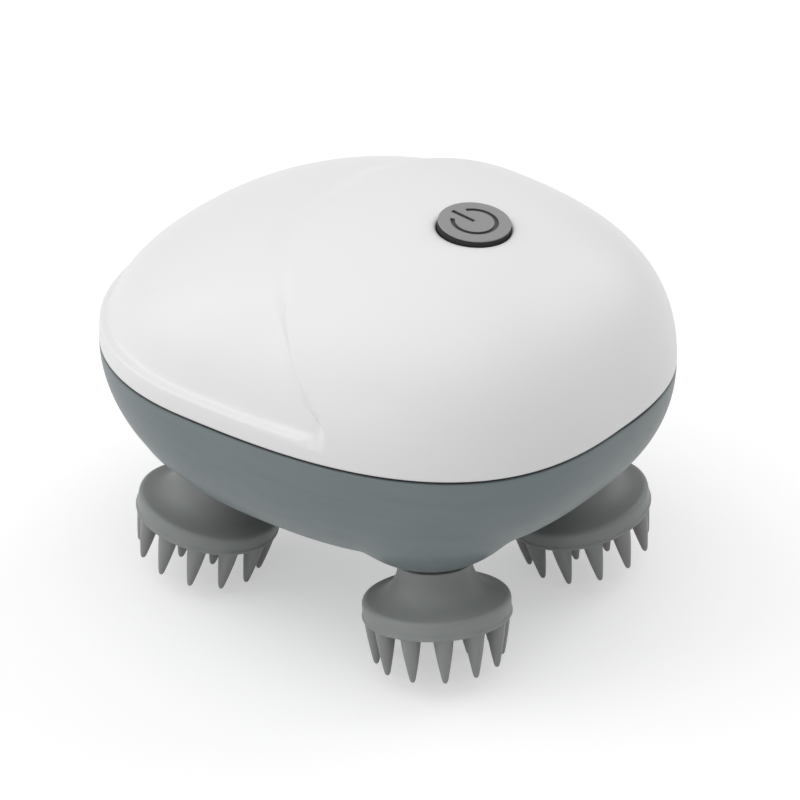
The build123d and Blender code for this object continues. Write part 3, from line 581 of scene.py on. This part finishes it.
def with_lobes(points, ball, end):
    """Push points out from the middle onto the lobes, where the lobes reach farther."""
    ray = points - MIDDLE
    reach = np.linalg.norm(ray, axis=-1)
    ray = ray / reach[..., None]
    for head_place in head_frames.values():
        up = np.array(head_place.col[2][:3])
        origin = np.array(head_place.col[3][:3])
        offset = origin + up * (BOSS_END + math.sqrt(BALL ** 2 - NECK ** 2)) - MIDDLE
        along = ray @ offset
        gap = ball ** 2 - (offset @ offset - along ** 2)
        to_ball = np.where(gap > 0, along + np.sqrt(np.clip(gap, 0, None)), 0)
        down = np.clip(-(ray @ up), 1e-6, None)
        to_cut = np.minimum(((MIDDLE - origin) @ up - end) / down, 200)
        lobe = -soft_max(-to_ball, -to_cut, CUT_EDGE)
        reach = soft_max(reach, lobe, VALLEY)
    return MIDDLE + ray * reach[..., None]


def on_bowl(angle, level, inset):
    """One level row of the bowl: level 0 is the seam, a quarter turn is its middle."""
    depth = (DEPTH - inset) * math.sin(level) ** (2 / DOWN_POWER)
    floor = (DEPTH - inset) * math.sin(FLOOR_LEVEL) ** (2 / DOWN_POWER)
    depth = -soft_max(-depth, -floor, FLOOR_EDGE)
    across, along = (math.cos(level) ** (2 / power) for power in (ACROSS_POWER, ALONG_POWER))
    x, y = outline(angle, inset)
    return np.stack([x * across, y * along + BOWL_CROWN * (1 - along), SEAM - depth + 0 * x], -1)


def bowl_levels(side, floor):
    """Levels that lie evenly down the side, with a few more over the floor."""
    return np.radians(np.concatenate([np.linspace(0.8, 66, side), np.linspace(66.8, 89.9, floor)]))


bowl_rows = seam_rows((TONGUE, TONGUE_TOP), (TONGUE, -PARTING), (0.35, -PARTING), (0.12, -0.32))
for level in bowl_levels(100, 26):
    bowl_rows.append(with_lobes(on_bowl(angles, level, 0.0), BALL, BOSS_END))
hollow_rows = seam_rows((TONGUE + 1.2, 3.0), (TONGUE + 1.2, -3.0), (WALL, -3.0))
for level in bowl_levels(36, 10)[5:]:
    hollow_rows.append(with_lobes(on_bowl(angles, level, WALL), BALL - WALL, BOSS_END + WALL))
print("bowl rows:", len(bowl_rows), "outside,", len(hollow_rows), "inside")

# %% Build the bowl as a solid, and its hollow as another
bowl = to_piece("bowl_skin", skin_from_rings(bowl_rows, poles=True), "housing")
dress(bowl, bowl_grey, "soft_grey")
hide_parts("bottom_housing")
hollow_mesh = skin_from_rings(hollow_rows, poles=True)
print("hollow faces:", len(hollow_mesh.faces))

# %% [markdown]
# ## Silicone heads
#
# A head is one moulding: a flared neck on a disc with a rounded rim, and a crown of claws below.
# The neck and disc are one profile, spun about the shaft. A single claw is spun too, with a
# rounded tip, and then copied round two rings. Its foot is a little wider than its body, as in
# a mould with a fillet.


# %% Spin a profile about Z
def spun(mesh, profile, steps):
    """Spin points of (radius, height) about Z and add the solid to a bmesh."""
    verts = [mesh.verts.new(Vector((radius, 0, height)) * MM) for radius, height in profile]
    edges = [mesh.edges.new(pair) for pair in zip(verts, verts[1:])]
    bmesh.ops.spin(mesh, geom=verts + edges, cent=(0, 0, 0), axis=(0, 0, 1), dvec=(0, 0, 0),
                   angle=2 * math.pi, steps=steps, use_merge=True, use_duplicate=False)
    return mesh


def weld(mesh):
    """Merge points in one place and turn all the faces outwards."""
    bmesh.ops.remove_doubles(mesh, verts=mesh.verts, dist=0.001 * MM)
    bmesh.ops.recalc_face_normals(mesh, faces=mesh.faces)
    return mesh


def rounded(points, radius, steps=5):
    """Round the corners of a profile; each corner has its own radius, 0 for none."""
    made = []
    for index, (spot, bend) in enumerate(zip(points, radius)):
        here = Vector(spot)
        if not bend:
            made.append(here)
            continue
        before = (Vector(points[index - 1]) - here).normalized() * bend
        after = (Vector(points[index + 1]) - here).normalized() * bend
        for share in (step / steps for step in range(steps + 1)):
            made.append(here + before * (1 - share) ** 2 + after * share ** 2)
    return [tuple(spot) for spot in made]


rim = rounded([(0, 0), (14.5, 0), (14.5, 0.5), (14.3, 0.8), (14.4, 3.7), (12.6, 3.95)],
              (0, 0.2, 0.15, 0.2, 1.1, 0))
flare = [(11.6, 4.2), (10.6, 4.6), (9.7, 5.2), (8.9, 6.0), (8.3, 6.9), (7.8, 7.8), (7.45, 8.7),
         (7.25, 9.6)]
top = rounded([(7.2, 10.0), (7.2, 10.8), (0, 10.8)], (0, 0.3, 0))
head_profile = rim + flare + top
claw_profile = [(0, 1.0), (2.2, 1.0), (2.2, 0.2), (2.05, -0.25), (1.93, -0.9), (1.8, -2.0),
                (1.62, -3.3), (1.41, -4.6), (1.18, -5.9), (0.95, -7.1), (0.75, -8.1), (0.6, -8.8),
                (0.45, -9.2), (0.25, -9.43), (0, -CLAW_LENGTH)]
claw_rings = ((12, CLAW_RING, 1.0), (6, 6.4, 0.8), (1, 0.0, 0.8))  # claws, radius, length
print("profile points:", len(head_profile), len(claw_profile))


# %% Build the heads
def head_mesh(first_turn):
    """Disc, neck and claws, with the first claw turned by an angle."""
    mesh = spun(bmesh.new(), head_profile, 96)
    for count, ring, size in claw_rings:
        for step in range(count):
            turn = first_turn + 2 * math.pi * step / count
            claw = spun(bmesh.new(), claw_profile, 20)
            bmesh.ops.scale(claw, vec=(1, 1, size), verts=claw.verts)
            spot = Vector((ring * math.cos(turn), ring * math.sin(turn), 0)) * MM
            bmesh.ops.translate(claw, vec=spot, verts=claw.verts)
            part = as_data("claw", claw)
            mesh.from_mesh(part)
            bpy.data.meshes.remove(part)
    return weld(mesh)


def in_metres(place):
    """A frame given in millimetres, for Blender."""
    scaled = place.copy()
    scaled.translation *= MM
    return scaled


for name, place in head_frames.items():
    mesh = head_mesh(corners[name][0] * CLAW_TURN)
    bmesh.ops.transform(mesh, matrix=in_metres(place), verts=mesh.verts)
    head = to_piece("silicone_head_" + name, mesh, "head_" + name)
    dress(head, silicone, "silicone_grey")
    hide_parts("massage_head_" + name)

# %% [markdown]
# ## Posts, bearing tubes and openings
#
# What is left of the bowl is plain turned solids, which is what Booleans are good at. The hollow
# first loses the posts and bearing tubes that must stay. The bowl then loses the hollow, and last
# the screw recesses, the bores and the opening for the charging contacts. Each tool is used once
# and thrown away, so the bowl ends as one clean closed mesh. Radii, heights and places are in
# millimetres.


# %% Tools and a carving helper
def upright(x, y):
    """Place of an upright tool."""
    return Matrix.Translation(Vector((x, y, 0)) * MM)


def turned(profile, place, steps=64):
    """Closed turned solid at a place."""
    mesh = weld(spun(bmesh.new(), profile, steps))
    bmesh.ops.transform(mesh, matrix=place, verts=mesh.verts)
    return mesh


def rod(radius, low, high, place):
    """Plain round bar from one height to another."""
    return turned([(0, low), (radius, low), (radius, high), (0, high)], place)


def cuboid(size, middle):
    """Plain block about a point."""
    mesh = bmesh.new()
    bmesh.ops.create_cube(mesh, size=1)
    bmesh.ops.scale(mesh, vec=Vector(size) * MM, verts=mesh.verts)
    bmesh.ops.translate(mesh, vec=Vector(middle) * MM, verts=mesh.verts)
    return mesh


def carve(piece, tools, material=None):
    """Take some solids, which are used up, away from a piece. The cut may have its own finish."""
    whole, part = bmesh.new(), bpy.data.meshes.new("tool")
    for tool in tools:
        tool.to_mesh(part)
        tool.free()
        whole.from_mesh(part)
    whole.to_mesh(part)
    whole.free()
    if material:
        part.materials.append(material)
    holder = add_object("tool", part)
    cut = piece.modifiers.new("cut", "BOOLEAN")
    cut.operation, cut.solver, cut.object = "DIFFERENCE", "EXACT", holder
    cut.material_mode = "TRANSFER" if material else "INDEX"
    result = piece.evaluated_get(bpy.context.evaluated_depsgraph_get())
    made = bpy.data.meshes.new_from_object(result)
    piece.modifiers.remove(cut)
    piece.data = made
    bpy.data.objects.remove(holder)
    bpy.data.meshes.remove(part)
    print(piece.name, "after carving:", len(made.polygons), "faces")


# %% Posts, tubes and a boss to keep
BELOW = 5  # under the floor of the bowl
POST, POST_TOP = 4.2, SEAM - PARTING
PLATE_POST, PLATE_TOP, PLATE_RADIUS = 2.8, 41.5, 27.5
SUN_BOSS, SUN_TOP = 4.6, 31.0
TUBE, TUBE_START, TUBE_END = 5.6, 10.3, 21.5  # along a head's own axis
head_places = [in_metres(place) for place in head_frames.values()]
posts = [upright(x, y)
         for x, y in ((0, -44.0), (0, 45.2), (35.0, PATTERN_Y), (-35.0, PATTERN_Y))]
plate_posts = [upright(x * PLATE_RADIUS, PATTERN_Y + y * PLATE_RADIUS)
               for x, y in ((1, 0), (-1, 0), (0, 1), (0, -1))]
sun_place = upright(0, PATTERN_Y)
kept = [rod(POST, BELOW, POST_TOP, place) for place in posts]
kept += [rod(PLATE_POST, BELOW, PLATE_TOP, place) for place in plate_posts]
kept.append(rod(SUN_BOSS, BELOW, SUN_TOP, sun_place))
kept += [rod(TUBE, TUBE_START, TUBE_END, place) for place in head_places]
hollow = add_object("hollow", as_data("hollow", hollow_mesh))
carve(hollow, kept)

# %% Carve the bowl
RECESS, SCREW_HOLE, SCREW_SEAT = 2.7, 1.4, 42.3
PILOT, PILOT_BOTTOM = 0.8, 34.5
SUN_BORE = 2.05
SEAL_POCKET, BUSH_BORE, BUSH_START = 4.22, 3.52, 13.5
OPENING, OPENING_PLACE = (18.1, 11.0, 6.1), (0, 56.35, 45.0)
hollow_mesh = bmesh.new()
hollow_mesh.from_mesh(hollow.data)
bpy.data.objects.remove(hollow)
carve(bowl, [hollow_mesh])
recess = [(0, BELOW), (RECESS, BELOW), (RECESS, SCREW_SEAT), (SCREW_HOLE, SCREW_SEAT),
          (SCREW_HOLE, SEAM + 1), (0, SEAM + 1)]
tools = [turned(recess, place) for place in posts]
tools += [rod(PILOT, PILOT_BOTTOM, PLATE_TOP + 1, place) for place in plate_posts]
tools.append(rod(SUN_BORE, SUN_TOP - 2, SUN_TOP + 1, sun_place))
seat = [(0, TUBE_START), (SEAL_POCKET, TUBE_START), (SEAL_POCKET, BUSH_START),
        (BUSH_BORE, BUSH_START), (BUSH_BORE, TUBE_END + 1), (0, TUBE_END + 1)]
tools += [turned(seat, place) for place in head_places]
tools.append(cuboid(OPENING, OPENING_PLACE))
carve(bowl, tools)
bowl.data.shade_smooth()
bowl.data.set_sharp_from_angle(angle=math.radians(40))

# %% [markdown]
# A small dark block in the tail carries the two contacts for the charging lead. Two gold discs on
# a plain box would do from afar, but a bored seat shows its depth as soon as light comes from the
# side. So a box with softened long edges is bored twice, and the contacts keep their mechanical
# shape in the bores.

# %% Charging block with open seats for its two contacts
BLOCK, BLOCK_PLACE = (18.0, 3.0, 6.0), (0, 52.4, 45.0)
CONTACT, CONTACT_X = 1.52, 4.0
block = cuboid(BLOCK, BLOCK_PLACE)
deep = [edge for edge in block.edges if abs(edge.verts[0].co.y - edge.verts[1].co.y) > MM]
bmesh.ops.bevel(block, geom=deep, offset=0.6 * MM, offset_type="OFFSET", segments=5, profile=0.5,
                affect="EDGES", material=-1)
socket = to_piece("charging_block", block, "housing", smooth=False)
dress(socket, nylon_dark, "frame_plastic")
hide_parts("charge_socket")
seats = []
for side in (-1, 1):
    spot = Vector((side * CONTACT_X, *BLOCK_PLACE[1:])) * MM
    place = Matrix.Translation(spot) @ Matrix.Rotation(math.pi / 2, 4, "X")
    seats.append(rod(CONTACT, -4, 4, place))
carve(socket, seats)
socket.data.shade_smooth()
socket.data.set_sharp_from_angle(angle=math.radians(30))

# %% [markdown]
# ## The power button
#
# A round cap stands a little proud of its bore, with a soft edge. Its side wall is painted
# near-black:
# painted shade for the dark gap round it. The power sign is engraved: a cutter in the shape of a
# ring with a gap, and a second one in the shape of a bar, are taken away from the cap. The groove
# keeps the cutters' own, darker finish.

# %% Cap
CAP, CAP_TOP, CAP_FLOOR, CAP_SKIRT, CAP_HOLLOW = 7.0, 0.9, -0.9, -2.5, 5.6
cap_place = Matrix((Vector((1, 0, 0)), button_back, button_up)).transposed().to_4x4()
cap_place.translation = BUTTON * MM
cap_profile = rounded([(0, CAP_TOP), (CAP, CAP_TOP), (CAP, CAP_SKIRT), (CAP_HOLLOW, CAP_SKIRT),
                       (CAP_HOLLOW, CAP_FLOOR), (0, CAP_FLOOR)], (0, 0.35, 0.2, 0, 0, 0))
button = to_piece("button_cap", turned(cap_profile[::-1], cap_place, 96), "button")
dress(button, cap_grey, "button_grey")
# The cap's side wall and underside take the near-black finish: painted shade for the dark gap round
# the cap.
button.data.materials.append(rubber_and_painted_shade)
for face in button.data.polygons:
    face.material_index = int(face.normal.dot(button_up) < 0.3)

# %% Engraved sign
GROOVE, ABOVE = 0.45, 1.3  # floor of the groove, and the tool's top above the cap
STROKE, ARC_RADIUS, HALF_GAP = 0.85, 3.75, math.radians(30)
BAR_LENGTH, BAR_MIDDLE = 5.2, 2.7
arc = bmesh.new()
corner = [arc.verts.new(Vector((0, radius, height)) * MM) for radius, height in
          ((ARC_RADIUS, GROOVE), (ARC_RADIUS + STROKE, GROOVE),
           (ARC_RADIUS + STROKE, ABOVE), (ARC_RADIUS, ABOVE))]
section = arc.faces.new(corner)
bmesh.ops.rotate(arc, cent=(0, 0, 0), matrix=Matrix.Rotation(HALF_GAP, 3, "Z"), verts=corner)
bmesh.ops.spin(arc, geom=[section], cent=(0, 0, 0), axis=(0, 0, 1),
               angle=2 * (math.pi - HALF_GAP), steps=60)
bar = cuboid((STROKE, BAR_LENGTH, ABOVE - GROOVE), (0, BAR_MIDDLE, (ABOVE + GROOVE) / 2))
for tool in (arc, bar):
    bmesh.ops.recalc_face_normals(tool, faces=tool.faces)
    bmesh.ops.transform(tool, matrix=cap_place, verts=tool.verts)
carve(button, [arc, bar], groove_grey)
button.data.shade_smooth()
button.data.set_sharp_from_angle(angle=math.radians(35))
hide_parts("power_button")

# %% [markdown]
# ## The mechanics inside
#
# The gears, shafts, board and screws keep their exact mechanical shapes and get a finish each.
# They could be modelled again with softer edges, but hardly any of them shows from outside. What
# counts is that each is made of the right stuff: pale acetal for the gears, ground steel for the
# shafts, bronze for the bushes, a green mask over the board.

# %% Finish the inner pieces
by_slot = {
    "gasket_rubber": rubber_and_painted_shade, "seal_rubber": rubber_and_painted_shade, "core_plastic": nylon_dark,
    "shaft_steel": turned_steel, "gear_acetal": acetal, "bronze": sintered_bronze,
    "frame_plastic": nylon_dark, "plate_steel": plated_steel, "endcap_plastic": nylon_dark,
    "board_green": board_mask, "cell_wrap": cell_film, "contact_gold": gilt,
    "screw_steel": plated_steel,
}
slot_of = {part["node"]: part["material_slot"] for part in frame["record"]["subparts"]}
for name, node in frame["nodes"].items():
    if slot_of[name] in by_slot:
        node.data.materials.clear()
        node.data.materials.append(by_slot[slot_of[name]])
print("inner pieces:", sum(slot in by_slot for slot in slot_of.values()))

# %% [markdown]
# ## Floor, light and background
#
# The floor is pale and has no edge in view. It shows almost white to the camera, and stays an
# ordinary surface for everything else, so the product keeps its soft shadow under the heads.
# A large softbox behind on the left gives the dome its bright side. Weaker ones hang above and
# stand on the right, a small low one on the left lifts the bowl's flank, and the white room does
# the rest, so the front falls off gently.


# %% Floor and backdrop
def shows_white(material, white):
    """Add a little white for the camera, and for mirrors and glass, on top of the surface."""
    nodes, links = material.node_tree.nodes, material.node_tree.links
    shader = nodes["Principled BSDF"]
    seen = nodes.new("ShaderNodeLightPath")
    either = nodes.new("ShaderNodeMath")
    either.operation = "MAXIMUM"
    links.new(seen.outputs["Is Camera Ray"], either.inputs[0])
    links.new(seen.outputs["Is Glossy Ray"], either.inputs[1])
    glow = nodes.new("ShaderNodeMath")
    glow.operation = "MULTIPLY"
    glow.inputs[1].default_value = white
    links.new(either.outputs["Value"], glow.inputs[0])
    shader.inputs["Emission Color"].default_value = (1, 1, 1, 1)
    links.new(glow.outputs["Value"], shader.inputs["Emission Strength"])


ROOM_LIGHT, FLOOR_GLOW = 0.485, 0.42
paper = finish("paper", (0.68, 0.68, 0.68), 0.8, spread=0.02, drift=0.0)
shows_white(paper, FLOOR_GLOW)
floor_mesh = bmesh.new()
bmesh.ops.create_grid(floor_mesh, x_segments=2, y_segments=2, size=3)
floor = add_object("floor", as_data("floor", floor_mesh))
floor.data.materials.append(paper)

world = bpy.data.worlds.new("studio")
bpy.context.scene.world = world
world.use_nodes = True
sky = world.node_tree.nodes["Background"]
sky.inputs["Color"].default_value = (1, 1, 1, 1)
seen = world.node_tree.nodes.new("ShaderNodeLightPath")
strength = world.node_tree.nodes.new("ShaderNodeMapRange")
strength.inputs["To Min"].default_value = ROOM_LIGHT
strength.inputs["To Max"].default_value = 1.0
world.node_tree.links.new(seen.outputs["Is Camera Ray"], strength.inputs["Value"])
world.node_tree.links.new(strength.outputs["Result"], sky.inputs["Strength"])
print("room light:", ROOM_LIGHT, "floor glow:", FLOOR_GLOW)


# %% Softboxes
def softbox(name, place, size, power):
    """Square area lamp that faces the product, with its size in metres and its power in watts."""
    lamp = bpy.data.lights.new(name, "AREA")
    lamp.size = size
    lamp.energy = power
    holder = add_object(name, lamp)
    holder.location = place
    holder.rotation_euler = (AIM - Vector(place)).to_track_quat("-Z", "Y").to_euler()


softbox("rear_left_key", (-0.5, 0.8, 0.8), 1.2, 5.3)
softbox("top", (-0.25, -0.15, 1.1), 1.0, 2.9)
softbox("right", (0.8, -0.3, 0.7), 0.7, 2.5)
softbox("low_left", (-1.0, 0.0, 0.2), 0.5, 0.9)
bpy.context.scene.view_settings.view_transform = "Standard"
print("lamps:", len(bpy.data.lights))
